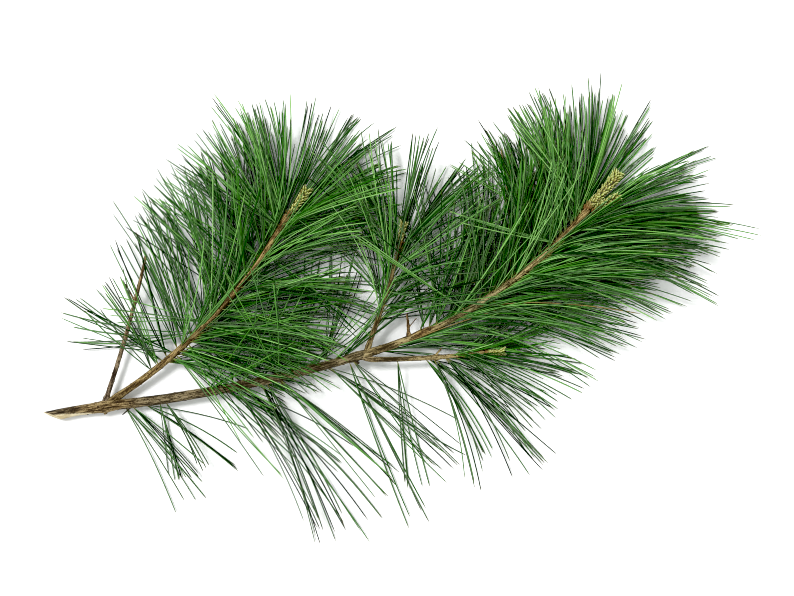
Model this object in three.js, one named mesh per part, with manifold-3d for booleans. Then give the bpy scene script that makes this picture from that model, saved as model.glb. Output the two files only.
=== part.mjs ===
// A cut branch of eastern white pine, lying on a flat surface.
//
// Woody limbs carry candles (the pale buds that open in spring) and brushes of needles. Each
// brush is one closed solid that reaches the tips of all the needles on its limb. The limbs
// run through the brushes in bores, and every piece keeps a small gap to its neighbours.
// Millimetres, +Z up. Headings are degrees about +Z: 0 is the line from the cut end to the
// leader's tip, and positive turns left, seen from above.
import * as THREE from "three";
import { mergeVertices } from "three/addons/utils/BufferGeometryUtils.js";
import Module from "manifold-3d";

const UP = new THREE.Vector3(0, 0, 1);
const JOINT_GAP = 0.4; // between two limbs that grow from each other
const NEEDLE_GAP = 0.8; // between a brush and any piece beside or inside it
const SLOT_TOP = 150; // above every brush, so that a candle's slot is open to the sky
const LIMB_SIDES = 8;
const LIMB_STEP = 25; // length of one straight stretch of a limb
const CANDLE_SIDES = 8;
const BRUSH_SIDES = 16;

const bark = { color: 0x75603f, roughness: 0.85, metalness: 0 };
const youngBark = { color: 0x8a7442, roughness: 0.75, metalness: 0 };
const deadBark = { color: 0x6b4c38, roughness: 0.9, metalness: 0 };
const bud = { color: 0xb9c070, roughness: 0.6, metalness: 0 };
const foliage = { color: 0x3f7a33, roughness: 0.5, metalness: 0 };

// --- Limbs ------------------------------------------------------------------------------------

// The centreline of a limb: an arc in plan whose heading turns evenly, while it climbs evenly.
class LimbPath extends THREE.Curve {
  constructor(start, { length, heading, climb }) {
    super();
    this.start = start;
    this.reach = length;
    this.climb = climb;
    [this.from, this.to] = heading.map(THREE.MathUtils.degToRad);
  }

  getPoint(t, target = new THREE.Vector3()) {
    const turn = this.to - this.from;
    const now = this.from + turn * t;
    target.set(
      (Math.sin(now) - Math.sin(this.from)) * (this.reach / turn),
      (Math.cos(this.from) - Math.cos(now)) * (this.reach / turn),
      this.climb * t,
    );
    return target.add(this.start);
  }

  // The point at a distance along the limb, carried straight on past either end.
  at(distance) {
    const t = THREE.MathUtils.clamp(distance / this.reach, 0, 1);
    const beyond = distance - t * this.reach;
    const ahead = this.getTangent(t).setZ(0).normalize();
    return this.getPoint(t).addScaledVector(ahead, beyond);
  }

  // Directions square to the limb at a distance along it: to its right, and upwards.
  frameAt(distance) {
    const tangent = this.getTangent(THREE.MathUtils.clamp(distance / this.reach, 0, 1));
    const right = tangent.clone().cross(UP).normalize();
    return { tangent, right, above: right.clone().cross(tangent) };
  }

  headingAt(distance) {
    const t = THREE.MathUtils.clamp(distance / this.reach, 0, 1);
    return this.from + (this.to - this.from) * t;
  }
}

// A tapered round limb: a closed cylinder whose rings are moved onto the path.
function limbGeometry(path, [baseRadius, tipRadius], grow = 0) {
  const steps = Math.max(2, Math.round(path.reach / LIMB_STEP));
  const geometry = new THREE.CylinderGeometry(1, 1, 1, LIMB_SIDES, steps);
  const position = geometry.getAttribute("position");
  for (let i = 0; i < position.count; i++) {
    const t = position.getY(i) + 0.5;
    const radius = THREE.MathUtils.lerp(baseRadius, tipRadius, t) + grow;
    const { tangent, right, above } = path.frameAt(t * path.reach);
    const endGrowth = t < 0.001 ? -grow : t > 0.999 ? grow : 0;
    const point = path
      .getPoint(t)
      .addScaledVector(tangent, endGrowth)
      .addScaledVector(right, position.getX(i) * radius)
      .addScaledVector(above, position.getZ(i) * radius);
    position.setXYZ(i, point.x, point.y, point.z);
  }
  return geometry;
}

const limbs = {};
function addLimb(name, start, shape) {
  limbs[name] = { path: new LimbPath(start, shape), radius: shape.radius, look: shape.look };
  return limbs[name];
}

// A side limb starts just clear of the limb that it grows from, on the side that it leaves to.
function addSideLimb(name, parent, distance, shape) {
  const t = distance / parent.path.reach;
  const parentRadius = THREE.MathUtils.lerp(parent.radius[0], parent.radius[1], t);
  const angle = THREE.MathUtils.degToRad(shape.heading[0]) - parent.path.headingAt(distance);
  const clear = parentRadius + JOINT_GAP + shape.radius[0] * Math.cos(angle);
  const { right } = parent.path.frameAt(distance);
  const start = parent.path.at(distance).addScaledVector(right, -Math.sign(angle) * clear);
  return addLimb(name, start, shape);
}

const CUT_RADIUS = 4.2; // the cut end, which rests on the surface
const base = addLimb("main_stem_base", new THREE.Vector3(0, 0, CUT_RADIUS), {
  length: 50,
  heading: [-8, -13],
  climb: 3,
  radius: [CUT_RADIUS, 3.9],
  look: bark,
});
const middle = addLimb("main_stem_middle", base.path.at(base.path.reach + JOINT_GAP), {
  length: 196,
  heading: [-15, -4],
  climb: 8,
  radius: [3.8, 3.0],
  look: bark,
});
const leader = addLimb("leader_shoot", middle.path.at(middle.path.reach + JOINT_GAP), {
  length: 200,
  heading: [-5, 29],
  climb: 9,
  radius: [2.9, 2.2],
  look: youngBark,
});
const side = addSideLimb("side_branch", middle, 8, {
  length: 188,
  heading: [12, 39],
  climb: 16,
  radius: [2.6, 2.1],
  look: bark,
});
addSideLimb("dead_twig", base, 49, {
  length: 112,
  heading: [50, 56],
  climb: 6,
  radius: [1.8, 1.1],
  look: deadBark,
});
const upper = addSideLimb("upper_side_shoot", leader, 4, {
  length: 80,
  heading: [49, 54],
  climb: 10,
  radius: [1.9, 1.5],
  look: youngBark,
});
const lower = addSideLimb("lower_side_shoot", leader, 4, {
  length: 84,
  heading: [-22, -13],
  climb: -2,
  radius: [1.9, 1.5],
  look: youngBark,
});
addSideLimb("dead_spur", leader, 36, {
  length: 15,
  heading: [70, 78],
  climb: 4,
  radius: [1.2, 0.7],
  look: deadBark,
});

// --- Candles ----------------------------------------------------------------------------------

// Each candle stands on a limb's tip: turn is its heading away from the limb's, tilt its rise.
const candles = {
  leader_candle_long: { limb: leader, length: 36, radius: 4.7, turn: -2, tilt: 9, aside: -1.6 },
  leader_candle_short: { limb: leader, length: 22, radius: 3.3, turn: -19, tilt: 14, aside: 4.2 },
  side_branch_candle: { limb: side, length: 24, radius: 3.7, turn: -8, tilt: 8, aside: 0 },
  upper_shoot_candle: { limb: upper, length: 15, radius: 2.3, turn: 6, tilt: 12, aside: 0 },
  lower_shoot_candle: { limb: lower, length: 14, radius: 2.2, turn: -5, tilt: 6, aside: 0 },
};

// Half the outline of a candle, as shares of its length and radius.
const CANDLE_OUTLINE = [
  [0, 0],
  [0, 0.5],
  [0.2, 0.7],
  [0.5, 0.88],
  [0.8, 1],
  [0.95, 0.7],
  [1, 0],
];

function candleGeometry({ limb: { path }, length, radius, turn, tilt, aside }) {
  const outline = CANDLE_OUTLINE.map(([s, r]) => new THREE.Vector2(r * radius, s * length));
  const { tangent, right } = path.frameAt(path.reach);
  const gap = JOINT_GAP + radius * Math.sin(THREE.MathUtils.degToRad(Math.abs(turn)));
  const foot = path.getPoint(1).addScaledVector(tangent, gap).addScaledVector(right, aside);
  const heading = path.headingAt(path.reach) + THREE.MathUtils.degToRad(turn);
  return new THREE.LatheGeometry(outline, CANDLE_SIDES)
    .rotateZ(-Math.PI / 2)
    .rotateY(-THREE.MathUtils.degToRad(tilt))
    .rotateZ(heading)
    .translate(foot.x, foot.y, foot.z);
}

// The slot that a candle leaves in its brush, open upwards.
const SLOT_BEHIND = 3; // how far the slot reaches back over the limb's tip
const SLOT_AHEAD = 5; // and how far it runs on past the candle's tip
function candleSlot({ limb: { path }, length, radius, turn, aside }) {
  const wide = 2 * (radius + NEEDLE_GAP);
  const long = SLOT_BEHIND + length + SLOT_AHEAD;
  const { right } = path.frameAt(path.reach);
  const foot = path.getPoint(1).addScaledVector(right, aside);
  return new THREE.BoxGeometry(long, wide, SLOT_TOP)
    .translate(long / 2 - SLOT_BEHIND, 0, SLOT_TOP / 2)
    .rotateZ(path.headingAt(path.reach) + THREE.MathUtils.degToRad(turn))
    .translate(foot.x, foot.y, foot.z - radius - 2 * NEEDLE_GAP);
}

// --- Brushes of needles -----------------------------------------------------------------------

// A brush covers its limb from the distance first to last, with needles of the given length.
// spread is how far the tips stand to the left and right, and rise how far above the limb.
// A brush is cut back from those listed before it.
const brushes = {
  main_stem_needles: { limb: middle, first: 22, last: 175, needle: 92, spread: [9, 98], rise: 17 },
  side_branch_needles: { limb: side, first: 40, last: 186, needle: 98, spread: [80, 76], rise: 44 },
  leader_needles: { limb: leader, first: 42, last: 198, needle: 122, spread: [92, 94], rise: 48 },
  lower_shoot_needles: { limb: lower, first: 10, last: 80, needle: 88, spread: [30, 96], rise: 24 },
  upper_shoot_needles: { limb: upper, first: 16, last: 78, needle: 92, spread: [62, 60], rise: 34 },
};

// Half the plan of a brush. A place is the first or last needle's root plus a share of a needle.
const BRUSH_OUTLINE = [
  ["first", -0.05, 0],
  ["first", 0.0, 0.2],
  ["first", 0.3, 0.7],
  ["first", 0.62, 1],
  ["last", 0.42, 1],
  ["last", 0.72, 0.78],
  ["last", 0.92, 0.42],
  ["last", 1, 0],
];
const BELOW = 0.8; // how far a brush would reach under its limb, as a share of rise, with no floor

function brushGeometry({ limb: { path }, first, last, needle, spread, rise }, grow = 0) {
  const root = { first, last };
  const outline = BRUSH_OUTLINE.map(([end, share, width], i) => {
    const endGrowth = i === 0 ? -grow : i === BRUSH_OUTLINE.length - 1 ? grow : 0;
    return new THREE.Vector2(width, root[end] + share * needle + endGrowth);
  });
  const geometry = new THREE.LatheGeometry(outline, BRUSH_SIDES);
  const position = geometry.getAttribute("position");
  for (let i = 0; i < position.count; i++) {
    const [x, distance, z] = [position.getX(i), position.getY(i), position.getZ(i)];
    const { right, above } = path.frameAt(distance);
    const across = x * ((x < 0 ? spread[0] : spread[1]) + grow);
    const up = z * ((z < 0 ? rise * BELOW : rise) + grow);
    const point = path.at(distance).addScaledVector(right, across).addScaledVector(above, up);
    position.setXYZ(i, point.x, point.y, point.z);
  }
  return geometry;
}

// --- Solids -----------------------------------------------------------------------------------

const wasm = await Module();
wasm.setup();

function toSolid(geometry) {
  const bare = geometry.clone().deleteAttribute("normal").deleteAttribute("uv");
  const merged = mergeVertices(bare, 1e-3);
  return new wasm.Manifold(
    new wasm.Mesh({
      numProp: 3,
      vertProperties: merged.getAttribute("position").array,
      triVerts: new Uint32Array(merged.index.array),
    }),
  );
}

function toGeometry(solid) {
  const { vertProperties, triVerts } = solid.getMesh();
  return new THREE.BufferGeometry()
    .setAttribute("position", new THREE.BufferAttribute(vertProperties, 3))
    .setIndex(new THREE.BufferAttribute(triVerts, 1));
}

const branch = new THREE.Group();
function addMesh(name, geometry, look) {
  const mesh = new THREE.Mesh(geometry, new THREE.MeshStandardMaterial(look));
  mesh.name = name;
  branch.add(mesh);
}

for (const [name, { path, radius, look }] of Object.entries(limbs))
  addMesh(name, limbGeometry(path, radius), look);
for (const [name, candle] of Object.entries(candles)) addMesh(name, candleGeometry(candle), bud);

// What every brush keeps clear of: the surface below, the limbs, the candles and earlier brushes.
const FLOOR_BLOCK = 4000;
const ground = new THREE.BoxGeometry(FLOOR_BLOCK, FLOOR_BLOCK, SLOT_TOP).translate(0, 0, -SLOT_TOP / 2);
const cutters = [
  toSolid(ground),
  ...Object.values(limbs).map((l) => toSolid(limbGeometry(l.path, l.radius, NEEDLE_GAP))),
  ...Object.values(candles).map((c) => toSolid(candleSlot(c))),
];
for (const [name, brush] of Object.entries(brushes)) {
  let solid = toSolid(brushGeometry(brush));
  for (const cutter of cutters) solid = solid.subtract(cutter);
  const [largest] = solid.decompose().sort((a, b) => b.volume() - a.volume());
  addMesh(name, toGeometry(largest), foliage);
  cutters.push(toSolid(brushGeometry(brush, NEEDLE_GAP)));
}

// The origin is the middle of the branch's footprint, on the surface that it lies on.
const box = new THREE.Box3().setFromObject(branch);
const middleOfBox = box.getCenter(new THREE.Vector3());
branch.position.set(-middleOfBox.x, -middleOfBox.y, -box.min.z);

export default branch;
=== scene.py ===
"""A cut branch of eastern white pine, lying on a pale table under soft studio light."""

import math

import bmesh
import bpy
import numpy as np
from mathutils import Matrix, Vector


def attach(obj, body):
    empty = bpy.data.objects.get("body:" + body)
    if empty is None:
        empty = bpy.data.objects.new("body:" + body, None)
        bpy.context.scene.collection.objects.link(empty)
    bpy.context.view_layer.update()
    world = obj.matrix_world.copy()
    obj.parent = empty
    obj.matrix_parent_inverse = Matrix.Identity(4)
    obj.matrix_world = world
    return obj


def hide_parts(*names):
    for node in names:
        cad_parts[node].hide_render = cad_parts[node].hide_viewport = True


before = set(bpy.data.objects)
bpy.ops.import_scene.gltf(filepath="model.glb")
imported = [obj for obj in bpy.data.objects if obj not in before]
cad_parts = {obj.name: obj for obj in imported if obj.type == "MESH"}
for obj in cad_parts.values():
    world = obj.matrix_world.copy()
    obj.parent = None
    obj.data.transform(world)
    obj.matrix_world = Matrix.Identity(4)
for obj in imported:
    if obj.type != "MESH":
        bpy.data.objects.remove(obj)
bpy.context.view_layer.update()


# --- The view --------------------------------------------------------------------------------
# The camera hangs straight above the branch, turned so that the leader points up to the right.
# It has a fairly long lens, a metre above the table, and a crisp film with deep blacks.

CAMERA_HEIGHT = 1.10
CAMERA_TURN = math.radians(-21)
LENS_MM = 66
LOOK_AT = Vector((0.005, -0.008, 0.0))
FILM_BLACK = 0.010
FILM_SOFTNESS = 1.0

lens = bpy.data.cameras.new("overhead_camera")
lens.lens = LENS_MM
camera = bpy.data.objects.new("overhead_camera", lens)
camera.location = LOOK_AT + Vector((0, 0, CAMERA_HEIGHT))
camera.rotation_euler = (0, 0, CAMERA_TURN)
bpy.context.scene.collection.objects.link(camera)
bpy.context.scene.camera = camera
bpy.context.scene.cycles.filter_width = FILM_SOFTNESS
film = bpy.context.scene.view_settings
film.view_transform = "Standard"
film.use_curve_mapping = True
film.curve_mapping.black_level = (FILM_BLACK, FILM_BLACK, FILM_BLACK)


# --- The table and the light -----------------------------------------------------------------
# A white matt table top, a white sky that is brightest at the horizon, and one large soft lamp
# up and to the left, which leaves faint soft shadows on the side away from it.

TABLE_SIZE = 8
TABLE_WHITE = (0.93, 0.93, 0.93, 1)
SKY_WHITE = (0.97, 0.995, 0.98, 1)
SKY_OVERHEAD = 0.86
SKY_AT_HORIZON = 1.0
HORIZON_SHARE = 0.3
LAMP_STRENGTH = 2.7
LAMP_SOFTNESS = math.radians(16)
LAMP_FROM = Vector((-0.42, 0.72, 1.35))


def connect(tree, socket, value):
    """Feeds a socket from another node's output or with a plain value."""
    if isinstance(value, bpy.types.NodeSocket):
        tree.links.new(value, socket)
    else:
        socket.default_value = value


def node(tree, kind, inputs=None, **settings):
    """Adds a node with its settings, and feeds its inputs, given by name or by number."""
    made = tree.nodes.new(kind)
    for name, value in settings.items():
        setattr(made, name, value)
    for key, value in (inputs or {}).items():
        connect(tree, made.inputs[key], value)
    return made


def step(tree, kind, inputs=None, **settings):
    """Adds a node and returns its first output."""
    return node(tree, kind, inputs, **settings).outputs[0]


def start_material(name, roughness, specular):
    """A new material, its tree and its shader."""
    made = bpy.data.materials.new(name)
    made.use_nodes = True
    shader = made.node_tree.nodes["Principled BSDF"]
    shader.inputs["Roughness"].default_value = roughness
    shader.inputs["Specular IOR Level"].default_value = specular
    return made, made.node_tree, shader


bpy.ops.mesh.primitive_plane_add(size=TABLE_SIZE)
table = bpy.context.object
table.name = "table"
white, _, paint = start_material("white_table", roughness=0.9, specular=0.1)
paint.inputs["Base Color"].default_value = TABLE_WHITE
table.data.materials.append(white)

sky = bpy.data.worlds.new("white_sky")
sky.use_nodes = True
heavens = sky.node_tree
direction = step(heavens, "ShaderNodeTexCoord")
upward = node(heavens, "ShaderNodeSeparateXYZ", {0: direction}).outputs["Z"]
inputs = {"Value": upward, 2: HORIZON_SHARE, 3: SKY_AT_HORIZON, 4: SKY_OVERHEAD}
backdrop = heavens.nodes["Background"]
backdrop.inputs["Color"].default_value = SKY_WHITE
connect(heavens, backdrop.inputs["Strength"], step(heavens, "ShaderNodeMapRange", inputs))
bpy.context.scene.world = sky

light = bpy.data.lights.new("soft_lamp", "SUN")
light.energy = LAMP_STRENGTH
light.angle = LAMP_SOFTNESS
lamp = bpy.data.objects.new("soft_lamp", light)
lamp.rotation_euler = LAMP_FROM.to_track_quat("Z", "Y").to_euler()
bpy.context.scene.collection.objects.link(lamp)


# --- The main stem ---------------------------------------------------------------------------
# Last years' wood, from the cut to the second ring of side limbs, in one unbroken length. It has
# grey-brown bark, finely furrowed, with the scars of fallen needles, a knob and a broken stub.
# The saw cut is slanted, and a strip of bark beside it has peeled off the pale wood.

RING_GAP = 0.004  # rings of a limb's solid that stand further apart than this are separate rings
LINE_STEP = 0.0005
SKIN_STEP = 0.00045
RIDGE_HEIGHT = 0.00022
RIDGE_PITCH = 0.0014
RIDGE_REACH = 0.0030
FURROW_STRETCH = 0.22  # how much longer the furrows are than they are wide, as a share
LUMP_SCALE = 160.0  # lumps per metre of bark
SCAR_SHAPE = (0.62, 1.25, 0.42)
GOLDEN_TURN = math.radians(137.5)  # from one needle scar or candle scale to the next one
VECTOR = "FLOAT_VECTOR"


def maths(tree, operation, *values):
    """The result of an operation on numbers."""
    return step(tree, "ShaderNodeMath", dict(enumerate(values)), operation=operation)


def total(tree, first, *others):
    """The sum of numbers."""
    for value in others:
        first = maths(tree, "ADD", first, value)
    return first


def product(tree, first, *others):
    """Numbers multiplied together."""
    for value in others:
        first = maths(tree, "MULTIPLY", first, value)
    return first


def vectors(tree, operation, *values):
    """The result of an operation on vectors."""
    return step(tree, "ShaderNodeVectorMath", dict(enumerate(values)), operation=operation)


def scaled(tree, vector, factor):
    """A vector times a number."""
    return step(tree, "ShaderNodeVectorMath", {0: vector, "Scale": factor}, operation="SCALE")


def parts_of(tree, vector):
    """The X, Y and Z of a vector."""
    return node(tree, "ShaderNodeSeparateXYZ", {0: vector}).outputs


def vector_of(tree, x, y, z):
    """A vector from its X, Y and Z."""
    return step(tree, "ShaderNodeCombineXYZ", {"X": x, "Y": y, "Z": z})


def blended(tree, share, start, end):
    """The number that lies at share of the way from start to end."""
    return step(tree, "ShaderNodeMix", {0: share, 2: start, 3: end})


def random_seed(tree, number):
    """The tree's own seed plus a number."""
    return total(tree, tree.nodes["Group Input"].outputs["Seed"], number)


def random_number(tree, low, high, number=0):
    """A random number for each point. The last number tells one such draw from another."""
    inputs = {2: low, 3: high, "Seed": random_seed(tree, number)}
    return node(tree, "FunctionNodeRandomValue", inputs, data_type="FLOAT").outputs[1]


def random_vector(tree, reach, number):
    """A random vector for each point, between -1 and 1 on each axis, times reach."""
    inputs = {0: (-1, -1, -1), 1: (1, 1, 1), "Seed": random_seed(tree, number)}
    return scaled(tree, step(tree, "FunctionNodeRandomValue", inputs, data_type=VECTOR), reach)


def keep(tree, geometry, **values):
    """Stores named values on the geometry's points, one after the other."""
    for name, value in values.items():
        kind = VECTOR if getattr(value, "type", None) == "VECTOR" else "FLOAT"
        inputs = {"Geometry": geometry, "Name": name, "Value": value}
        geometry = step(tree, "GeometryNodeStoreNamedAttribute", inputs, data_type=kind)
    return geometry


def kept(tree, name, kind="FLOAT"):
    """Reads a named value."""
    return step(tree, "GeometryNodeInputNamedAttribute", {"Name": name}, data_type=kind)


SOCKETS = {"float": "NodeSocketFloat", "int": "NodeSocketInt", "material": "NodeSocketMaterial"}


def start_tree(name, **inputs):
    """A new tree with named inputs of each kind, the sockets that bring them, and its output."""
    tree = bpy.data.node_groups.new(name, "GeometryNodeTree")
    tree.interface.new_socket("Geometry", in_out="INPUT", socket_type="NodeSocketGeometry")
    for kind, labels in inputs.items():
        for label in labels.split(", "):
            tree.interface.new_socket(label, in_out="INPUT", socket_type=SOCKETS[kind])
    tree.interface.new_socket("Geometry", in_out="OUTPUT", socket_type="NodeSocketGeometry")
    given = tree.nodes.new("NodeGroupInput").outputs
    return tree, given, tree.nodes.new("NodeGroupOutput")


def finish_tree(tree, out, geometry, spent, material):
    """Ends a tree: spent values taken off, smooth faces, instances made real, and the material."""
    for name in spent:
        geometry = step(tree, "GeometryNodeRemoveAttribute", {"Geometry": geometry, "Name": name})
    inputs = {"Geometry": geometry, "Shade Smooth": True}
    geometry = step(tree, "GeometryNodeSetShadeSmooth", inputs)
    geometry = step(tree, "GeometryNodeRealizeInstances", {"Geometry": geometry})
    inputs = {"Geometry": geometry, "Material": material}
    connect(tree, out.inputs[0], step(tree, "GeometryNodeSetMaterial", inputs))


def run_tree(tree, mesh, **inputs):
    """Runs a tree on a mesh and returns the result as a plain mesh."""
    carrier = bpy.data.objects.new("carrier", mesh)
    bpy.context.scene.collection.objects.link(carrier)
    modifier = carrier.modifiers.new("grow", "NODES")
    modifier.node_group = tree
    named = {item.name: item for item in tree.interface.items_tree if item.in_out == "INPUT"}
    for label, value in inputs.items():
        modifier[named[label.replace("_", " ")].identifier] = value
    seen = bpy.context.evaluated_depsgraph_get()
    grown = bpy.data.meshes.new_from_object(carrier.evaluated_get(seen))
    carrier.modifiers.clear()
    bpy.data.objects.remove(carrier)
    while None in grown.materials[:]:
        grown.materials.pop(index=grown.materials[:].index(None))
    return grown


def joined(meshes):
    """One mesh of several."""
    parts = [bpy.data.objects.new("part", mesh) for mesh in meshes]
    for part in parts:
        bpy.context.scene.collection.objects.link(part)
    with bpy.context.temp_override(selected_editable_objects=parts, active_object=parts[0]):
        bpy.ops.object.join()
    mesh = parts[0].data
    bpy.data.objects.remove(parts[0])
    return mesh


def solid_points(name):
    """The corners of a solid, each once."""
    points = np.array([v.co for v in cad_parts[name].data.vertices])
    return np.unique(points.round(5), axis=0)


def ring_line(name):
    """The centre and the radius of each ring of a limb's solid, from its thick end to its tip."""
    points = solid_points(name)
    axis = np.linalg.svd(points - points.mean(0))[2][0]
    axis = axis * np.sign(axis[0])
    points = points[np.argsort(points @ axis)]
    rings = np.split(points, np.where(np.diff(points @ axis) > RING_GAP)[0] + 1)
    centres = np.array([ring.mean(0) for ring in rings])
    radii = np.array([np.linalg.norm(r - c, axis=1).max() for r, c in zip(rings, centres)])
    return centres, radii


def smooth_line(points, radii):
    """The same line with a point every half millimetre, rounded at its corners."""
    ends = [2 * points[0] - points[1]], [2 * points[-1] - points[-2]]
    p = np.concatenate([ends[0], points, ends[1]])
    line, thick = [], []
    for i in range(1, len(p) - 2):
        count = max(2, round(np.linalg.norm(p[i + 1] - p[i]) / LINE_STEP))
        for t in np.arange(count) / count:
            even = 2 * p[i] + (p[i + 1] - p[i - 1]) * t
            square = (2 * p[i - 1] - 5 * p[i] + 4 * p[i + 1] - p[i + 2]) * t**2
            cube = (3 * p[i] - p[i - 1] - 3 * p[i + 1] + p[i + 2]) * t**3
            line.append((even + square + cube) / 2)
            thick.append(radii[i - 1] + (radii[i] - radii[i - 1]) * t)
    return np.array([*line, points[-1]]), np.array([*thick, radii[-1]])


def hump(reach, place, width):
    """1 at a place on a line, falling to nothing about two widths away."""
    return np.exp(-(((reach - place) / width) ** 2))


def with_humps(reach, value, humps):
    """A value along a line, raised by humps, each a place, a height and a width."""
    value = np.zeros(len(reach)) + value
    for place, height, width in humps:
        value = value + height * hump(reach, place, width)
    return value


def bud_rings(reach, place):
    """The low ridges that the scales of a year's bud leave round a limb."""
    waves = np.cos((reach - place) / RIDGE_PITCH * math.tau)
    return RIDGE_HEIGHT * waves * hump(reach, place, RIDGE_REACH)


def line_mesh(line, **values):
    """A mesh of one string of edges, with a named number on each point."""
    mesh = bpy.data.meshes.new("line")
    mesh.from_pydata([tuple(p) for p in line], [(i, i + 1) for i in range(len(line) - 1)], [])
    for name, numbers in values.items():
        mesh.attributes.new(name, "FLOAT", "POINT").data.foreach_set("value", numbers)
    return mesh


def side_vectors(tree, ahead):
    """The directions to the right of a line and above it."""
    right = vectors(tree, "NORMALIZE", vectors(tree, "CROSS_PRODUCT", ahead, (0, 0, 1)))
    return right, vectors(tree, "CROSS_PRODUCT", right, ahead)


def turned(tree, start, end, turn):
    """The direction at a turn from one direction towards another."""
    along_start = scaled(tree, start, maths(tree, "COSINE", turn))
    return vectors(tree, "ADD", along_start, scaled(tree, end, maths(tree, "SINE", turn)))


def string_curve(tree, given):
    """The curve of the string of edges that the tree is given."""
    return step(tree, "GeometryNodeMeshToCurve", {"Mesh": given["Geometry"]})


def section(tree, corners):
    """A round section of radius 1."""
    return step(tree, "GeometryNodeCurvePrimitiveCircle", {"Resolution": corners, "Radius": 1.0})


def swept(tree, curve, profile, scale):
    """The closed skin that a section leaves along a curve."""
    inputs = {"Curve": curve, "Profile Curve": profile, "Scale": scale, "Fill Caps": True}
    return step(tree, "GeometryNodeCurveToMesh", inputs)


def moved(tree, geometry, place):
    """The geometry with its points at their places."""
    return step(tree, "GeometryNodeSetPosition", {"Geometry": geometry, "Position": place})


def rooted(tree, curve, count, share, turn, depth):
    """Points on a limb's bark, each at a share of its length and a turn round it.

    Depth is their distance from the limb's middle as a share of its radius. The places, the
    limb's direction there and the direction outward come with the points.
    """
    inputs = {"Curves": curve, "Value": kept(tree, "thickness"), "Factor": share}
    sample = node(tree, "GeometryNodeSampleCurve", inputs, mode="FACTOR", use_all_curves=True).outputs
    outward = turned(tree, *side_vectors(tree, sample["Tangent"]), turn)
    stand = scaled(tree, outward, product(tree, sample["Value"], depth))
    place = vectors(tree, "ADD", sample["Position"], stand)
    points = moved(tree, step(tree, "GeometryNodePoints", {"Count": count}), place)
    return points, place, sample["Tangent"], outward


def pointing(tree, first, first_axis, second, second_axis):
    """The rotation that points a shape's first axis exactly, and its second axis roughly."""
    inputs = {"Primary Axis": first, "Secondary Axis": second}
    axes = dict(primary_axis=first_axis, secondary_axis=second_axis)
    return step(tree, "FunctionNodeAxesToRotation", inputs, **axes)


def copies(tree, points, shape, **inputs):
    """Copies of a shape on points, made real."""
    inputs.update(Points=points, Instance=shape)
    made = step(tree, "GeometryNodeInstanceOnPoints", inputs)
    return step(tree, "GeometryNodeRealizeInstances", {"Geometry": made})


def together(tree, *pieces):
    """Several geometries as one."""
    whole = node(tree, "GeometryNodeJoinGeometry")
    for piece in pieces:
        tree.links.new(piece, whole.inputs[0])
    return whole.outputs[0]


def limb_tree():
    """Skins a line as a woody limb: a round section, furrowed bark and a spiral of needle scars."""
    tree, given, out = start_tree(
        "woody_limb",
        int="Sides, Scars, Seed",
        float="Furrow depth, Furrow size, Scars from, Scar size",
        material="Bark",
    )
    inputs = {"Curve": string_curve(tree, given), "Length": SKIN_STEP}
    curve = step(tree, "GeometryNodeResampleCurve", inputs, mode="LENGTH")
    spline = tree.nodes.new("GeometryNodeSplineParameter").outputs
    curve = keep(tree, curve, along=spline["Length"])
    profile = keep(tree, section(tree, given["Sides"]), around=spline["Factor"])
    thick = kept(tree, "thickness")
    skin = swept(tree, curve, profile, thick)

    # Bark place: round the limb on X and Y, and along it on Z, so that patterns follow the limb.
    angle = product(tree, kept(tree, "around"), math.tau)
    across = product(tree, maths(tree, "COSINE", angle), thick)
    up = product(tree, maths(tree, "SINE", angle), thick)
    skin = keep(tree, skin, bark_place=vector_of(tree, across, up, kept(tree, "along")))

    # Furrows along the limb, and broad lumps.
    place = kept(tree, "bark_place", VECTOR)
    shift = scaled(tree, (1.0, 0.7, 0.3), product(tree, given["Seed"], 0.37))
    stretched = vectors(tree, "MULTIPLY", place, (1, 1, FURROW_STRETCH))
    inputs = {"Vector": vectors(tree, "ADD", stretched, shift), "Detail": 3.0, "Roughness": 0.6}
    inputs["Scale"] = maths(tree, "DIVIDE", 1.0, given["Furrow size"])
    furrows = step(tree, "ShaderNodeTexNoise", inputs)
    inputs = {"Vector": vectors(tree, "ADD", place, shift), "Scale": LUMP_SCALE, "Detail": 1.0}
    lumps = step(tree, "ShaderNodeTexNoise", inputs)
    height = product(tree, total(tree, furrows, lumps, -1.0), given["Furrow depth"])
    normal = step(tree, "GeometryNodeInputNormal")
    inputs = {"Geometry": skin, "Offset": scaled(tree, normal, height)}
    skin = keep(tree, step(tree, "GeometryNodeSetPosition", inputs), furrow=furrows)

    # Scars: low oval cushions in a spiral, where bundles of needles grew.
    index = step(tree, "GeometryNodeInputIndex")
    share = total(tree, index, random_number(tree, 0.2, 0.8))
    share = maths(tree, "DIVIDE", share, given["Scars"])
    share = blended(tree, share, given["Scars from"], 1.0)
    turn = product(tree, index, GOLDEN_TURN)
    points, _, ahead, outward = rooted(tree, curve, given["Scars"], share, turn, 1.0)
    ball = step(tree, "GeometryNodeMeshIcoSphere", {"Radius": 1.0, "Subdivisions": 1})
    ball = keep(tree, ball, scar=1.0)
    size = product(tree, random_number(tree, 0.7, 1.2, 5), given["Scar size"])
    lie = pointing(tree, ahead, "Y", outward, "Z")
    scars = copies(tree, points, ball, Rotation=lie, Scale=scaled(tree, SCAR_SHAPE, size))
    spent = ("around", "along", "thickness")
    finish_tree(tree, out, together(tree, skin, scars), spent, given["Bark"])
    return tree


woody_limb = limb_tree()


def place_piece(name, mesh, slot, *nodes):
    """Puts a finished mesh in the scene as the fine piece that stands for its solids."""
    piece = bpy.data.objects.new("fine_" + name, mesh)
    mesh.name = piece.name
    bpy.context.scene.collection.objects.link(piece)
    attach(piece, "root")
    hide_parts(*nodes)
    return piece


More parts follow.
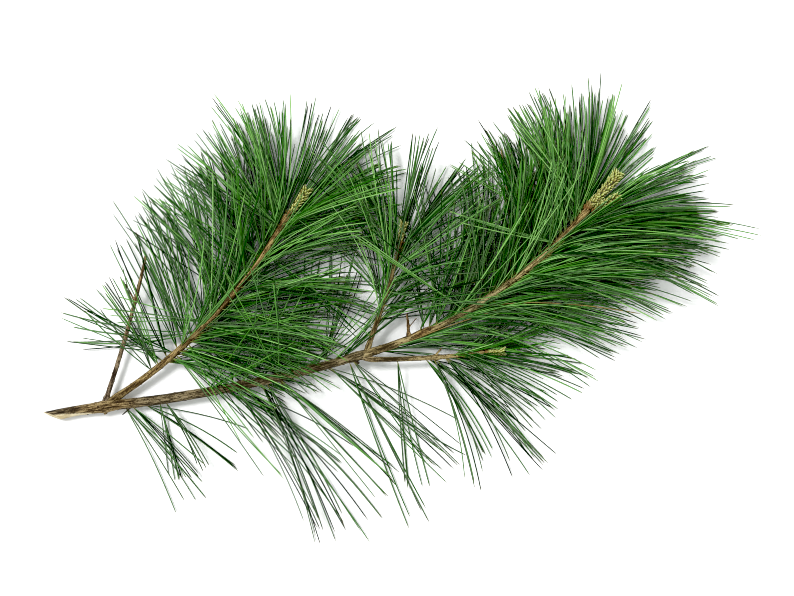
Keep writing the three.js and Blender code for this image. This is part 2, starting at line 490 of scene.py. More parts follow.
def ramp(tree, share, stops):
    """A colour that runs through the given stops, each a place and a colour."""
    made = node(tree, "ShaderNodeValToRGB", {0: share})
    elements = made.color_ramp.elements
    while len(elements) < len(stops):
        elements.new(0.5)
    for element, (place, colour) in zip(elements, stops):
        element.position = place
        element.color = (*colour, 1)
    return made.outputs[0]


def mixed(tree, share, start, end):
    """A colour between two."""
    inputs = {0: share, 6: start, 7: end}
    return node(tree, "ShaderNodeMix", inputs, data_type="RGBA").outputs[2]


def attribute(tree, name, output="Fac"):
    """The value of a named attribute in a material."""
    return node(tree, "ShaderNodeAttribute", attribute_name=name).outputs[output]


def noise(tree, place, stretch, scale, detail):
    """A noise pattern, stretched along the limb."""
    place = vectors(tree, "MULTIPLY", place, (1, 1, stretch))
    inputs = {"Vector": place, "Scale": scale, "Detail": detail, "Roughness": 0.62}
    return step(tree, "ShaderNodeTexNoise", inputs)


OLD_BARK = [(0.38, (0.011, 0.007, 0.003)), (0.53, (0.064, 0.046, 0.025)), (0.70, (0.205, 0.162, 0.102))]
YOUNG_BARK = [(0.36, (0.036, 0.030, 0.007)), (0.50, (0.175, 0.148, 0.056)), (0.66, (0.420, 0.360, 0.165))]
WARM_BARK = [(0.36, (0.044, 0.021, 0.005)), (0.50, (0.175, 0.104, 0.032)), (0.66, (0.400, 0.285, 0.110))]
DEAD_BARK = [(0.36, (0.014, 0.009, 0.006)), (0.50, (0.078, 0.052, 0.034)), (0.66, (0.230, 0.175, 0.120))]
CUT_WOOD = [(0.35, (0.460, 0.360, 0.200)), (0.65, (0.750, 0.670, 0.470))]
SCAR_BROWN = (0.050, 0.028, 0.014, 1)
YEAR_RING = 0.0009  # from one ring of the saw cut to the next


def bark_material(name, old_bark):
    """Bark that is darker in its furrows and patchy, from old bark to young or warm bark."""
    made, tree, shader = start_material(name, roughness=0.8, specular=0.25)
    place = attribute(tree, "bark_place", "Vector")
    patches = noise(tree, place, stretch=0.35, scale=150.0, detail=4.0)
    streaks = noise(tree, place, stretch=0.12, scale=900.0, detail=3.0)
    cracks = noise(tree, place, stretch=0.9, scale=1300.0, detail=2.0)
    share = total(
        tree,
        product(tree, attribute(tree, "furrow"), 0.60),
        product(tree, patches, 0.90),
        product(tree, streaks, 1.10),
        product(tree, cracks, 0.60),
        -1.10,
    )
    colour = ramp(tree, share, old_bark)
    colour = mixed(tree, attribute(tree, "youth"), colour, ramp(tree, share, YOUNG_BARK))
    colour = mixed(tree, attribute(tree, "warmth"), colour, ramp(tree, share, WARM_BARK))
    scar = mixed(tree, 0.55, colour, SCAR_BROWN)
    colour = mixed(tree, attribute(tree, "scar"), colour, scar)

    # Bare wood: fine rings on the saw cut and fine grain along the peeled strip.
    core = parts_of(tree, place)
    squares = [maths(tree, "POWER", core[axis], 2.0) for axis in (0, 1)]
    radius = maths(tree, "POWER", total(tree, *squares), 0.5)
    rings = maths(tree, "SINE", product(tree, radius, math.tau / YEAR_RING))
    grain = total(tree, product(tree, rings, 0.16), streaks)
    colour = mixed(tree, attribute(tree, "wood"), colour, ramp(tree, grain, CUT_WOOD))
    connect(tree, shader.inputs["Base Color"], colour)
    worn = maths(tree, "SUBTRACT", 1.1, product(tree, share, 0.55))
    connect(tree, shader.inputs["Roughness"], worn)
    bump = step(tree, "ShaderNodeBump", {"Height": share, "Distance": 0.0005, "Strength": 0.8})
    connect(tree, shader.inputs["Normal"], bump)
    return made


stem_bark = bark_material("stem_bark", OLD_BARK)

lines = {}


def limb_line(name, solids, fork=None, swellings=(), rings=()):
    """A limb's line, its thickness and the distance along it, from its solids.

    A fork is a parent limb, how far back along it the root lies, and how thick the root is as a
    share of the limb's own foot. Swellings are humps in thickness, and rings are old buds' places.
    """
    found = [ring_line(solid) for solid in solids]
    points = np.concatenate([centres for centres, _ in found])
    radii = np.concatenate([widths for _, widths in found])
    if fork:
        parent, back, share = fork
        root = lines[parent][0]
        near = int(np.argmin(np.linalg.norm(root - points[0], axis=1)))
        near = max(0, near - round(back / LINE_STEP))
        points = np.concatenate([[root[near]], points])
        radii = np.concatenate([[radii[0] * share], radii])
    line, thick = smooth_line(points, radii)
    gaps = np.linalg.norm(np.diff(line, axis=0), axis=1)
    reach = np.concatenate([[0], np.cumsum(gaps)])
    thick = with_humps(reach, thick, swellings)
    for place in rings:
        thick = thick + bud_rings(reach, place)
    lines[name] = line, thick, reach
    return line, thick, reach


def limb_skin(line, thick, youth, warmth, seed, material, **inputs):
    """The skin of a limb. Youth runs evenly from its first to its second value."""
    ages = youth[0] + (youth[1] - youth[0]) * np.linspace(0, 1, len(line))
    given = dict(Sides=22, Furrow_depth=0.0004, Furrow_size=0.0045, Scars=60, Scars_from=0.0)
    given.update(Scar_size=0.0008, Seed=seed, Bark=material)
    given.update(inputs)
    mesh = line_mesh(line, thickness=thick, youth=ages, warmth=warmth)
    return run_tree(woody_limb, mesh, **given)


def stub_skin(parent, place, turn, lean, length, radius, seed, material, warm=0.0, old=0.3):
    """The skin of a short broken stub on a limb, aimed by its turn and its lean in degrees."""
    line, thick, reach = lines[parent]
    turn, lean = math.radians(turn), math.radians(lean)
    near = int(np.argmin(abs(reach - place)))
    ahead = line[near + 1] - line[near]
    ahead = ahead / np.linalg.norm(ahead)
    right = np.cross(ahead, (0, 0, 1))
    right = right / np.linalg.norm(right)
    out = right * math.cos(turn) + np.cross(right, ahead) * math.sin(turn)
    aim = ahead * math.cos(lean) + out * math.sin(lean)
    root = line[near] + out * thick[near] * 0.4
    share = np.linspace(0, 1, 24)
    bow = np.cross(aim, out) * 0.06
    stub = root + length * (share[:, None] * aim + (share**2)[:, None] * bow)
    taper = radius * (1.5 - 0.5 * np.minimum(1, share * 4)) * (1 - 0.35 * share)
    small = dict(Sides=14, Furrow_depth=radius * 0.22, Furrow_size=0.003, Scars=5, Scar_size=radius * 0.4)
    youth = (1 - old, 1 - old)
    return limb_skin(stub, taper, youth, np.full(len(stub), warm), seed, material, **small)


line, thick, reach = limb_line(
    "main_stem",
    ["main_stem_base", "main_stem_middle"],
    swellings=[(0.048, 0.0009, 0.0060), (0.240, 0.0006, 0.0060), (0.151, 0.0004, 0.0040)],
    rings=[0.040, 0.062, 0.152, 0.236],
)
stem_warmth = with_humps(reach, 0.12, [(0.040, 0.40, 0.016), (0.060, 0.30, 0.010)])
stem_youth = (0.0, 0.25)
detail = dict(Sides=40, Furrow_depth=0.0006, Scars=120, Scars_from=0.13)
stem_skin = limb_skin(line, thick, stem_youth, stem_warmth, seed=3, material=stem_bark, **detail)

CUT_SLANT = 0.0130  # how much further back the cut is on the peeled side than on the other
CUT_FADE = 0.0220
PEEL_LENGTH = 0.0380
PEEL_MIDDLE = math.radians(24)  # from the stem's right side towards its top
PEEL_HALF_WIDTH = math.radians(74)
PEEL_EDGE = 0.16  # radians over which the bark thins out to nothing
BARK_THICKNESS = 0.0004


def saw_and_peel(mesh, line):
    """Slants the cut end of the stem, and bares the wood there and on a strip beside it."""
    work = bmesh.new()
    work.from_mesh(mesh)
    place = work.verts.layers.float_vector["bark_place"]
    scar = work.verts.layers.float["scar"]
    wood = work.verts.layers.float.new("wood")
    ahead = Vector(line[4] - line[0]).normalized()
    right = ahead.cross((0, 0, 1)).normalized()
    above = right.cross(ahead)
    foot = [face for face in work.faces if max(vert[place].z for vert in face.verts) < LINE_STEP / 2]
    cap = max(foot, key=lambda face: len(face.verts))
    rim = set(cap.verts)
    for vert in work.verts:
        along = vert[place].z
        if along > PEEL_LENGTH or vert[scar]:
            continue
        out = vert.co - Vector(line[round(along / LINE_STEP)])
        across, up = out.dot(right), out.dot(above)
        off = abs(math.atan2(up, across) - PEEL_MIDDLE)
        ragged = 0.10 * math.sin(along * 2300) + 0.08 * math.sin(along * 5100 + 2)
        half = PEEL_HALF_WIDTH * math.sqrt(1 - along / PEEL_LENGTH) * (1.1 + ragged)
        bare = min(1.0, max(0.0, (half - off) / PEEL_EDGE))
        vert[wood] = 1.0 if vert in rim else bare
        vert.co -= out.normalized() * BARK_THICKNESS * bare
        if along < CUT_FADE:
            towards_peel = across * math.cos(PEEL_MIDDLE) + up * math.sin(PEEL_MIDDLE)
            share = 0.5 + 0.5 * towards_peel / out.length
            vert.co += ahead * CUT_SLANT * share * (1 - along / CUT_FADE)
    middle = bmesh.ops.poke(work, faces=[cap])["verts"][0]
    middle[wood] = 1.0
    middle[place] = Vector((0, 0, 0))
    work.to_mesh(mesh)
    work.free()


saw_and_peel(stem_skin, line)
STUBS = [
    dict(place=0.046, turn=-20, lean=75, length=0.0042, radius=0.0022, seed=31, warm=0.6, old=1),
    dict(place=0.069, turn=5, lean=145, length=0.0110, radius=0.0006, seed=32, old=0.9),
    dict(place=0.238, turn=-10, lean=60, length=0.005, radius=0.0014, seed=33, old=1),
]
stubs = [stub_skin("main_stem", material=stem_bark, **stub) for stub in STUBS]
stem_mesh = joined([stem_skin, *stubs])
place_piece("main_stem", stem_mesh, "bark", "main_stem_base", "main_stem_middle")


# --- The side branch -------------------------------------------------------------------------
# The long limb that leaves the stem to the left at the first ring. Its bark is younger, warmer
# and thinner than the stem's, with the low ridges of three old buds.


def grow_limb(name, slot, material, fork, swellings, rings, youth, warmth, seed, stub=None, **inputs):
    """One limb from its fork to its tip, with a broken stub if it has one.

    Warmth is a base value and the humps on it.
    """
    line, thick, reach = limb_line(name, [name], fork, swellings, rings)
    warmth = with_humps(reach, *warmth)
    mesh = limb_skin(line, thick, youth, warmth, seed, material, **inputs)
    if stub:
        mesh = joined([mesh, stub_skin(name, material=material, **stub)])
    place_piece(name, mesh, slot, name)


grow_limb(
    "side_branch",
    "bark",
    stem_bark,
    fork=("main_stem", 0.016, 0.95),
    swellings=[(0.012, 0.0005, 0.006), (0.097, 0.0004, 0.003), (0.200, 0.0005, 0.004)],
    rings=[0.020, 0.098, 0.200],
    youth=(0.3, 0.6),
    warmth=(0.75, [(0.0, -0.35, 0.02), (0.19, 0.15, 0.03)]),
    seed=5,
    Scars=130,
    Scar_size=0.0007,
)


# --- The leader and the two side shoots ------------------------------------------------------
# The newest wood. Smooth olive-tan bark with pale streaks, orange-brown where a thick ring
# marks the start of the last year's growth, and again under the buds at the tips.

shoot_bark = bark_material("shoot_bark", OLD_BARK)
SMOOTH = dict(Furrow_depth=0.00025, Scar_size=0.0006)

grow_limb(
    "leader_shoot",
    "young_bark",
    shoot_bark,
    fork=("main_stem", 0.006, 1.15),
    swellings=[(0.008, 0.0003, 0.008), (0.052, 0.0005, 0.006), (0.203, 0.0006, 0.005)],
    rings=[0.046, 0.206],
    youth=(0.35, 1.1),
    warmth=(0.30, [(0.053, 0.60, 0.009), (0.208, 0.55, 0.050), (0.100, -0.25, 0.040)]),
    seed=6,
    Scars=190,
    **SMOOTH,
)
grow_limb(
    "upper_side_shoot",
    "young_bark",
    shoot_bark,
    fork=("leader_shoot", 0.004, 1.1),
    swellings=[(0.006, 0.0004, 0.004), (0.086, 0.0004, 0.003)],
    rings=[0.012, 0.084],
    youth=(0.4, 0.9),
    warmth=(0.35, [(0.086, 0.4, 0.03)]),
    seed=7,
    Scars=70,
    **SMOOTH,
)
grow_limb(
    "lower_side_shoot",
    "young_bark",
    shoot_bark,
    fork=("leader_shoot", 0.008, 1.1),
    swellings=[(0.010, 0.0003, 0.005), (0.058, 0.0006, 0.003), (0.092, 0.0004, 0.003)],
    rings=[0.014, 0.088],
    youth=(0.1, 0.8),
    warmth=(0.25, [(0.092, 0.45, 0.03)]),
    seed=8,
    stub=dict(place=0.057, turn=160, lean=50, length=0.008, radius=0.0009, seed=34, warm=0.5),
    Scars=70,
    **SMOOTH,
)


# --- The dead twig and the dead spur ---------------------------------------------------------
# Bare, dry wood with dark flaking bark, each with a small broken prong of its own. The twig
# springs from the first ring of side limbs, and the spur from near the leader's foot.

dry_bark = bark_material("dry_bark", DEAD_BARK)

grow_limb(
    "dead_twig",
    "dead_bark",
    dry_bark,
    fork=("main_stem", 0.002, 1.3),
    swellings=[(0.004, 0.0009, 0.004), (0.055, 0.0005, 0.002), (0.084, 0.0004, 0.002)],
    rings=[0.056],
    youth=(0.0, 0.2),
    warmth=(0.10, [(0.110, 0.50, 0.050)]),
    seed=9,
    stub=dict(place=0.083, turn=165, lean=42, length=0.014, radius=0.0007, seed=35, warm=0.5, old=1),
    Scars=80,
    Scar_size=0.0007,
)
grow_limb(
    "dead_spur",
    "dead_bark",
    dry_bark,
    fork=("leader_shoot", 0.001, 1.3),
    swellings=[(0.003, 0.0006, 0.002), (0.010, 0.0003, 0.0015)],
    rings=[],
    youth=(0.0, 0.0),
    warmth=(0.8, []),
    seed=10,
    stub=dict(place=0.009, turn=0, lean=42, length=0.009, radius=0.00045, seed=36, warm=0.5, old=1),
    Furrow_depth=0.0003,
    Scars=12,
    Scar_size=0.0005,
)


# --- The candles -----------------------------------------------------------------------------
# The buds that open in spring: a soft stem packed with a spiral of pale pointed scales, each the
# sheath of a bundle of needles to come. They flare at the tip, over orange-brown bud scales.

# A scale's colour from foot to tip: its dark olive foot is painted shade in the gaps between scales, then
# its own yellow-green and its cream tip.
SCALE_COLOURS_AND_GAP_SHADE = [
    (0.0, (0.038, 0.034, 0.006)),
    (0.36, (0.135, 0.150, 0.022)),
    (0.62, (0.335, 0.380, 0.080)),
    (0.92, (0.700, 0.740, 0.360)),
]
OLD_SCALE = (0.240, 0.165, 0.045, 1)
BUD_SCALE = (0.190, 0.085, 0.026, 1)
BUD_SCALES_END = [(0.0, (1, 1, 1)), (0.10, (0.7, 0.7, 0.7)), (0.18, (0, 0, 0))]
SCALE_LENGTH = 0.0036
SCALE_WIDTH = 0.00095
SCALE_FLATNESS = 0.62
SCALE_DEPTH = 0.72  # how far out from a candle's middle its scales are rooted
SCALE_FOOT = -0.15  # where a scale starts, sunk below its root by a share of its length
SCALE_POINTS = 7
CANDLE_STEPS = 60


def upright_line(tree, foot, count):
    """A straight line along Z from its foot up to 1, in even steps."""
    line = step(tree, "GeometryNodeCurvePrimitiveLine", {"Start": (0, 0, foot), "End": (0, 0, 1)})
    return step(tree, "GeometryNodeResampleCurve", {"Curve": line, "Count": count}, mode="COUNT")


def candle_tree():
    """Grows a candle along a line: a spindle, covered with a spiral of pointed scales."""
    tree, given, out = start_tree(
        "candle",
        int="Scales, Seed",
        float="Scale length, Scale width",
        material="Bud",
    )
    along = step(tree, "GeometryNodeSplineParameter")
    curve = keep(tree, string_curve(tree, given), ripeness=along)
    body = swept(tree, curve, section(tree, 20), kept(tree, "thickness"))

    # One scale: a narrow leaf shape, pointed at both ends, and flattened against the candle.
    line = upright_line(tree, SCALE_FOOT, SCALE_POINTS)
    bulge = maths(tree, "SINE", product(tree, maths(tree, "POWER", along, 0.8), math.pi))
    line = keep(tree, line, tipward=along, bulge=total(tree, bulge, 0.03))
    scale = swept(tree, line, section(tree, 6), kept(tree, "bulge"))

    # The spiral of scales, which lean out more and grow longer towards the tip.
    index = step(tree, "GeometryNodeInputIndex")
    share = maths(tree, "DIVIDE", total(tree, index, 0.5), given["Scales"])
    turn = total(tree, product(tree, index, GOLDEN_TURN), random_number(tree, -0.25, 0.25))
    reach = product(tree, share, 0.97)
    points, _, ahead, outward = rooted(tree, curve, given["Scales"], reach, turn, SCALE_DEPTH)
    lean = blended(tree, maths(tree, "POWER", share, 2.0), 0.50, 0.62)
    lean = total(tree, lean, random_number(tree, -0.16, 0.22, 1))
    stand = pointing(tree, turned(tree, ahead, outward, lean), "Z", outward, "Y")
    grown = blended(tree, maths(tree, "POWER", share, 3.0), 0.85, 1.35)
    length = product(tree, grown, random_number(tree, 0.8, 1.2, 2), given["Scale length"])
    width = given["Scale width"]
    extent = vector_of(tree, width, product(tree, width, SCALE_FLATNESS), length)
    points = keep(tree, points, ripeness=share, tint=random_number(tree, 0.0, 1.0, 3))
    scales = copies(tree, points, scale, Rotation=stand, Scale=extent)
    finish_tree(tree, out, together(tree, body, scales), ("bulge", "thickness"), given["Bud"])
    return tree


def candle_material():
    """Yellow-green scales with cream tips, darkened to olive towards their feet as painted shade in the gaps
    between them, over an orange-brown foot.
    """
    made, tree, shader = start_material("candle_scales", roughness=0.62, specular=0.3)
    tipward = attribute(tree, "tipward")
    tint = maths(tree, "POWER", attribute(tree, "tint"), 2.0)
    colour = mixed(tree, product(tree, tint, 0.6), ramp(tree, tipward, SCALE_COLOURS_AND_GAP_SHADE), OLD_SCALE)
    foot = ramp(tree, attribute(tree, "ripeness"), BUD_SCALES_END)
    connect(tree, shader.inputs["Base Color"], mixed(tree, foot, colour, BUD_SCALE))
    satin = maths(tree, "SUBTRACT", 0.72, product(tree, tipward, 0.20))
    connect(tree, shader.inputs["Roughness"], satin)
    return made


scaly_candle = candle_tree()
candle_scales = candle_material()


def grow_candle(name, limb, seed, scales, bow):
    """A candle in the place of its solid, from its foot on the limb to its tip."""
    end = lines[limb][0][-1]
    points = solid_points(name)
    tip = points[np.argmax(np.linalg.norm(points - end, axis=1))]
    axis = (tip - points.mean(0)) / np.linalg.norm(tip - points.mean(0))
    foot = points[(points @ axis) < (points @ axis).min() + 0.0005].mean(0)
    length = np.linalg.norm(tip - foot)
    radius = max(np.linalg.norm(np.cross(points - foot, axis), axis=1))
    share = np.linspace(-0.06, 0.95, CANDLE_STEPS)
    side = np.cross(axis, (0, 0, 1))
    sway = bow * length * np.sin(np.clip(share, 0, 1) * math.pi)
    line = foot + share[:, None] * (tip - foot) + sway[:, None] * side
    outline = 0.46 + 0.30 * np.clip(share, 0, 1) ** 0.8
    outline *= np.sqrt(np.clip(1.0 - share, 0, 1) * 5.0).clip(0, 1)
    sizes = dict(Scale_length=SCALE_LENGTH, Scale_width=SCALE_WIDTH)
    mesh = line_mesh(line, thickness=radius * outline)
    mesh = run_tree(scaly_candle, mesh, Scales=scales, Seed=seed, Bud=candle_scales, **sizes)
    place_piece(name, mesh, "candle", name)


grow_candle("leader_candle_long", "leader_shoot", seed=61, scales=190, bow=0.03)
grow_candle("leader_candle_short", "leader_shoot", seed=62, scales=96, bow=-0.05)
grow_candle("side_branch_candle", "side_branch", seed=63, scales=120, bow=0.03)
grow_candle("upper_shoot_candle", "upper_side_shoot", seed=64, scales=70, bow=-0.03)
grow_candle("lower_shoot_candle", "lower_side_shoot", seed=65, scales=70, bow=0.03)


# --- The needles -----------------------------------------------------------------------------
# Bundles of five slender needles, three-sided, up to 12 cm long, fine and limp. They grow in a
# spiral but lie parted to the left and right of their limb, and the lowest rest on the table.

BUNDLE = 5  # needles in one bundle
GOLDEN_SHARE = 0.618034  # of a whole turn, from one bundle to the next
NEEDLE_WIDTH = 0.00085
NEEDLE_POINTS = 12
NEEDLE_CEILING = 0.076
NEEDLE_GREENS = [
    (0.0, (0.001, 0.012, 0.001)),
    (0.28, (0.005, 0.048, 0.002)),
    (0.52, (0.021, 0.128, 0.007)),
    (0.78, (0.080, 0.270, 0.028)),
    (1.0, (0.230, 0.480, 0.120)),
]
INNER_BANDS_AND_SHEEN = (0.350, 0.570, 0.260, 1)
DEAD_TAN = (0.280, 0.200, 0.070, 1)
DEAD_SHARE = 0.003
FOOT_TAN = (0.280, 0.230, 0.070, 1)
TIP_BROWN = (0.160, 0.100, 0.030, 1)
BLACK, WHITE = (0, 0, 0), (1, 1, 1)


def needle_tree():
    """Grows bundles of needles along a line."""
    tree, given, out = start_tree(
        "needle_bundles",
        int="Bundles, Seed",
        float="First, Last, Length, Lean first, Lean last, Curl first, Curl last, "
        "Side, Fan, Rise, Sag, Stray, Spread, Youth",
        material="Needle",
    )

    def stray(number):
        """A random number that is mostly small, between -1 and 1."""
        one = random_number(tree, -1.0, 1.0, number)
        two = random_number(tree, -1.0, 1.0, number + 1)
        return product(tree, one, maths(tree, "ABSOLUTE", two))

    # One point for each bundle, in a spiral that is gathered into the fan on the wanted side.
    index = step(tree, "GeometryNodeInputIndex")
    share = total(tree, index, random_number(tree, 0.0, 1.0))
    share = maths(tree, "POWER", maths(tree, "DIVIDE", share, given["Bundles"]), 0.85)
    reach = blended(tree, share, given["First"], given["Last"])
    spiral = maths(tree, "FRACT", product(tree, index, GOLDEN_SHARE))
    spread = product(tree, maths(tree, "SUBTRACT", spiral, 0.5), given["Fan"])
    roll = total(tree, given["Side"], spread, random_number(tree, -0.2, 0.2, 1))
    curve = string_curve(tree, given)
    points, root, ahead, _ = rooted(tree, curve, given["Bundles"], reach, roll, 0.85)

    # Each bundle's aim, length and bend. The brush is flatter than it is wide.
    right, above = side_vectors(tree, ahead)
    flat = turned(tree, right, scaled(tree, above, given["Rise"]), roll)
    lean = blended(tree, share, given["Lean first"], given["Lean last"])
    lean = total(tree, lean, product(tree, stray(2), given["Stray"]))
    aim = turned(tree, ahead, flat, lean)
    size = total(tree, 1.0, product(tree, stray(4), 0.24))
    size = product(tree, given["Length"], size)
    curl = blended(tree, share, given["Curl first"], given["Curl last"])
    curl = total(tree, curl, product(tree, stray(6), 0.16))
    sag = scaled(tree, (0, 0, -1), given["Sag"])
    bend = vectors(tree, "ADD", scaled(tree, flat, curl), sag)
    bend = vectors(tree, "ADD", bend, random_vector(tree, 0.10, 8))
    # Tint: random from needle to needle, with painted light on bundles that grow upward and painted shade on
    # those that grow downward, plus the tuft's youth, which on low tufts is partly painted shade.
    painted_light_by_roll = product(tree, maths(tree, "SINE", roll), 0.20)
    tint = total(tree, 0.40, painted_light_by_roll, product(tree, stray(9), 0.40), given["Youth"])
    points = keep(tree, points, root=root, aim=aim, bend=bend, size=size, tint=tint)

    # The needles of a bundle, each a little apart from the others.
    inputs = {"Geometry": points, "Amount": BUNDLE}
    each = step(tree, "GeometryNodeDuplicateElements", inputs, domain="POINT")
    aim = vectors(tree, "ADD", kept(tree, "aim", VECTOR), random_vector(tree, given["Spread"], 11))
    size = product(tree, kept(tree, "size"), random_number(tree, 0.88, 1.04, 12))
    bend = vectors(tree, "ADD", kept(tree, "bend", VECTOR), random_vector(tree, 0.06, 13))

    # A needle that would go through the table is aimed to meet it near its tip instead.
    x, y, height = parts_of(tree, vectors(tree, "NORMALIZE", aim))
    root_height = parts_of(tree, kept(tree, "root", VECTOR))["Z"]
    lowest = maths(tree, "DIVIDE", root_height, product(tree, size, -0.75))
    height = maths(tree, "MAXIMUM", height, lowest)
    aim = vectors(tree, "NORMALIZE", vector_of(tree, x, y, height))
    whole_way = {0: vectors(tree, "ADD", aim, bend)}
    whole_way = node(tree, "ShaderNodeVectorMath", whole_way, operation="LENGTH").outputs["Value"]
    each = keep(
        tree,
        each,
        size=maths(tree, "DIVIDE", size, whole_way),
        aim=aim,
        bend=bend,
        tint=total(tree, kept(tree, "tint"), random_number(tree, -0.46, 0.46, 14)),
        dead=random_number(tree, 0.0, 1.0, 16),
        twist=random_number(tree, 0.0, math.tau, 17),
        lift=random_number(tree, 0.0006, 0.0030, 18),
        width=random_number(tree, 0.85, 1.12, 19),
    )

    # The needles themselves: bent lines with a three-sided section and a fine point.
    needles = copies(tree, each, upright_line(tree, 0.0, NEEDLE_POINTS))
    to_tip = maths(tree, "SUBTRACT", 1.0, step(tree, "GeometryNodeSplineParameter"))
    to_tip = maths(tree, "POWER", to_tip, 1.5)
    needles = keep(tree, needles, along=maths(tree, "SUBTRACT", 1.0, to_tip))
    along = kept(tree, "along")
    way = scaled(tree, kept(tree, "aim", VECTOR), along)
    bent = scaled(tree, kept(tree, "bend", VECTOR), maths(tree, "POWER", along, 2.0))
    way = scaled(tree, vectors(tree, "ADD", way, bent), kept(tree, "size"))
    x, y, height = parts_of(tree, vectors(tree, "ADD", kept(tree, "root", VECTOR), way))
    height = maths(tree, "SMOOTH_MAX", height, kept(tree, "lift"), 0.004)
    height = maths(tree, "SMOOTH_MIN", height, NEEDLE_CEILING, 0.020)
    needles = moved(tree, needles, vector_of(tree, x, y, height))
    inputs = {"Curve": needles, "Tilt": kept(tree, "twist")}
    needles = step(tree, "GeometryNodeSetCurveTilt", inputs)

    taper = node(tree, "ShaderNodeFloatCurve", {"Value": along})
    outline = taper.mapping.curves[0].points
    outline[0].location = (0.0, 0.55)
    outline[1].location = (1.0, 0.15)
    outline.new(0.06, 0.92)
    outline.new(0.95, 0.92)
    taper.mapping.update()
    width = product(tree, kept(tree, "width"), NEEDLE_WIDTH / math.sqrt(3))
    width = product(tree, taper.outputs[0], width)
    # One corner of the section is marked inner; the material paints it pale, partly for the needle's own
    # pale bands and partly as a painted highlight.
    inner = maths(tree, "COMPARE", step(tree, "GeometryNodeInputIndex"), 0.0, 0.1)
    skin = swept(tree, needles, keep(tree, section(tree, 3), inner=inner), width)
    spent = ("thickness", "root", "aim", "bend", "size", "twist", "lift", "width")
    finish_tree(tree, out, skin, spent, given["Needle"])
    return tree


def needle_material():
    """Satin green, deeper or brighter from needle to needle, with painted light and shade in the tint, and
    pale inner faces, partly pale bands and partly a painted highlight.
    """
    made, tree, shader = start_material("pine_needle", roughness=0.42, specular=0.05)
    along = attribute(tree, "along")
    tint = attribute(tree, "tint")
    colour = ramp(tree, tint, NEEDLE_GREENS)
    # The pale inner face: partly the needle's own pale bands, partly a painted highlight along it.
    inner = product(tree, attribute(tree, "inner"), 0.72)
    colour = mixed(tree, inner, colour, mixed(tree, 0.55, colour, INNER_BANDS_AND_SHEEN))
    dead = maths(tree, "LESS_THAN", attribute(tree, "dead"), DEAD_SHARE)
    colour = mixed(tree, dead, colour, DEAD_TAN)
    colour = mixed(tree, ramp(tree, along, [(0.0, WHITE), (0.05, BLACK)]), colour, FOOT_TAN)
    tip = ramp(tree, along, [(0.96, BLACK), (1.0, WHITE)])
    colour = mixed(tree, product(tree, tip, 0.6), colour, TIP_BROWN)
    connect(tree, shader.inputs["Base Color"], colour)
    wax = total(tree, 0.34, product(tree, tint, 0.16))
    connect(tree, shader.inputs["Roughness"], wax)
    return made


needle_bundles = needle_tree()
needle = needle_material()

BRUSH_RISE = 0.50  # a brush's height as a share of its width
NEEDLE_SAG = 0.10
RIGHT, LEFT, DOWNWARD = 0, 180, -90  # degrees round a limb
SEED_STEP = 50


def tuft(
    bundles, first, last, length, side, fan, lean, curl=(0.15, 0.15), stray=28, spread=0.09, youth=0.0
):
    """The inputs of a tuft between two shares of its limb's length. Angles are in degrees.

    Side is where it grows round the limb, fan is how wide it spreads there, and lean is how far
    its needles turn from the limb, at the tuft's start and end. Youth brightens the needles of a
    young tuft and darkens an old one; on the low tufts near the table that darkening is also
    painted shade.
    """
    return dict(
        Bundles=bundles,
        First=first,
        Last=last,
        Length=length,
        Side=math.radians(side),
        Fan=math.radians(fan),
        Lean_first=math.radians(lean[0]),
        Lean_last=math.radians(lean[1]),
        Curl_first=curl[0],
        Curl_last=curl[1],
        Stray=math.radians(stray),
        Spread=spread,
        Youth=youth,
    )


def grow_needles(name, limb, seed, *tufts):
    """One piece of needles on a limb, from its tufts."""
    line, thick, _ = lines[limb]
    usual = dict(Rise=BRUSH_RISE, Sag=NEEDLE_SAG, Needle=needle)
    grown = []
    for number, inputs in enumerate(tufts):
        mesh = line_mesh(line, thickness=thick)
        grown.append(run_tree(needle_bundles, mesh, Seed=seed + SEED_STEP * number, **usual, **inputs))
    place_piece(name, joined(grown), "needles", name)


# The leader: swept right needles that end level, upright left needles, and a full tip that
# leaves the candles bare on top.
grow_needles(
    "leader_needles",
    "leader_shoot",
    1000,
    tuft(108, 0.33, 0.94, 0.112, RIGHT, 110, lean=(14, 32), curl=(0.26, 0.42), stray=40),
    tuft(96, 0.24, 0.98, 0.100, LEFT, 110, lean=(42, 58), curl=(0.10, 0.18), stray=66, spread=0.13),
    tuft(28, 0.92, 1.0, 0.092, DOWNWARD, 190, lean=(48, 34), curl=(0.20, 0.12), stray=40, youth=0.16),
    tuft(10, 0.05, 0.30, 0.096, RIGHT, 120, lean=(14, 10), stray=40, spread=0.13, youth=-0.1),
)

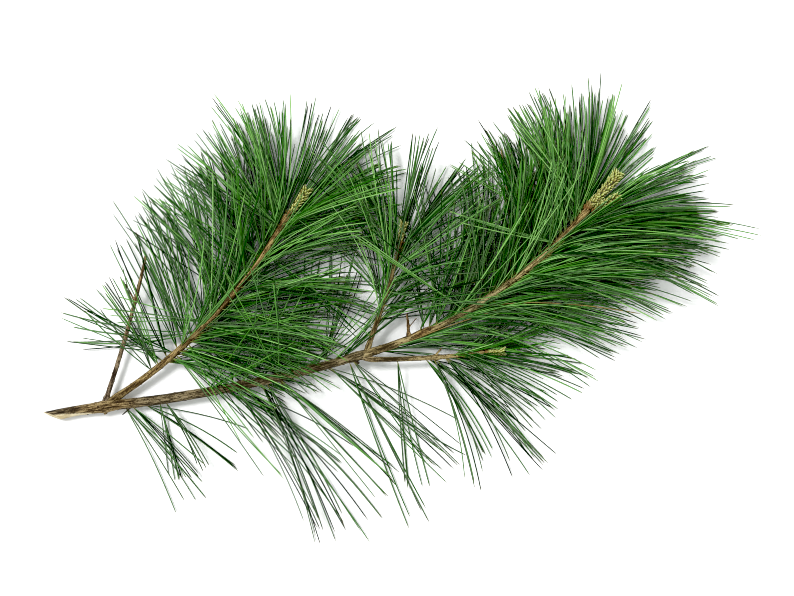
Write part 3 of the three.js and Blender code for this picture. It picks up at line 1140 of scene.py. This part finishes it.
# The side branch: upright on its left, a dense sweep to the right that crosses the main stem.
grow_needles(
    "side_branch_needles",
    "side_branch",
    2000,
    tuft(10, 0.20, 0.42, 0.086, LEFT, 120, lean=(88, 70), stray=90, spread=0.17, youth=-0.15),
    tuft(64, 0.36, 0.98, 0.094, LEFT, 120, lean=(64, 48), curl=(0.06, 0.15), stray=105, spread=0.17),
    tuft(
        38, 0.28, 0.54, 0.102, RIGHT, 110, lean=(62, 52), curl=(0.1, 0.1), stray=60, spread=0.17, youth=-0.12
    ),
    tuft(40, 0.52, 0.98, 0.094, RIGHT, 130, lean=(40, 34), curl=(0.15, 0.25), stray=54, spread=0.13),
    tuft(24, 0.93, 1.0, 0.092, DOWNWARD, 235, lean=(42, 26), stray=40, youth=0.16),
)

# The main stem: sparse old bundles, mostly on its right, with bare wood between them.
grow_needles(
    "main_stem_needles",
    "main_stem",
    3000,
    tuft(3, 0.23, 0.32, 0.080, RIGHT, 60, lean=(62, 30), stray=12, spread=0.28, youth=-0.30),
    tuft(2, 0.34, 0.38, 0.062, RIGHT, 40, lean=(108, 60), stray=10, spread=0.14, youth=-0.24),
    tuft(7, 0.54, 0.76, 0.122, RIGHT, 80, lean=(44, 66), stray=44, spread=0.17, youth=-0.24),
    tuft(4, 0.84, 0.98, 0.120, RIGHT, 80, lean=(50, 62), stray=34, spread=0.15, youth=-0.24),
    tuft(12, 0.50, 0.96, 0.090, LEFT, 120, lean=(56, 30), stray=60, spread=0.18, youth=-0.12),
)

# The two side shoots: a loose fan past the lower one's tip, and a small even brush on the upper.
grow_needles(
    "lower_shoot_needles",
    "lower_side_shoot",
    4000,
    tuft(1, 0.30, 0.34, 0.088, RIGHT, 40, lean=(84, 84), stray=6, spread=0.10, youth=-0.16),
    tuft(
        5, 0.50, 0.74, 0.096, RIGHT, 70, lean=(62, 48), curl=(0.20, 0.10), stray=16, spread=0.13, youth=-0.2
    ),
    tuft(
        4, 0.52, 0.92, 0.078, RIGHT, 60, lean=(26, 34), curl=(0.05, 0.05), stray=30, spread=0.16, youth=-0.26
    ),
    tuft(11, 0.70, 1.0, 0.082, DOWNWARD, 350, lean=(20, 10), stray=44, spread=0.15, youth=-0.08),
)
grow_needles(
    "upper_shoot_needles",
    "upper_side_shoot",
    5000,
    tuft(17, 0.25, 0.98, 0.088, LEFT, 140, lean=(44, 34), stray=60, spread=0.16, youth=-0.08),
    tuft(17, 0.25, 0.98, 0.088, RIGHT, 140, lean=(44, 34), stray=60, spread=0.16, youth=-0.08),
    tuft(12, 0.9, 1.0, 0.080, DOWNWARD, 240, lean=(34, 20), stray=40, youth=0.06),
)
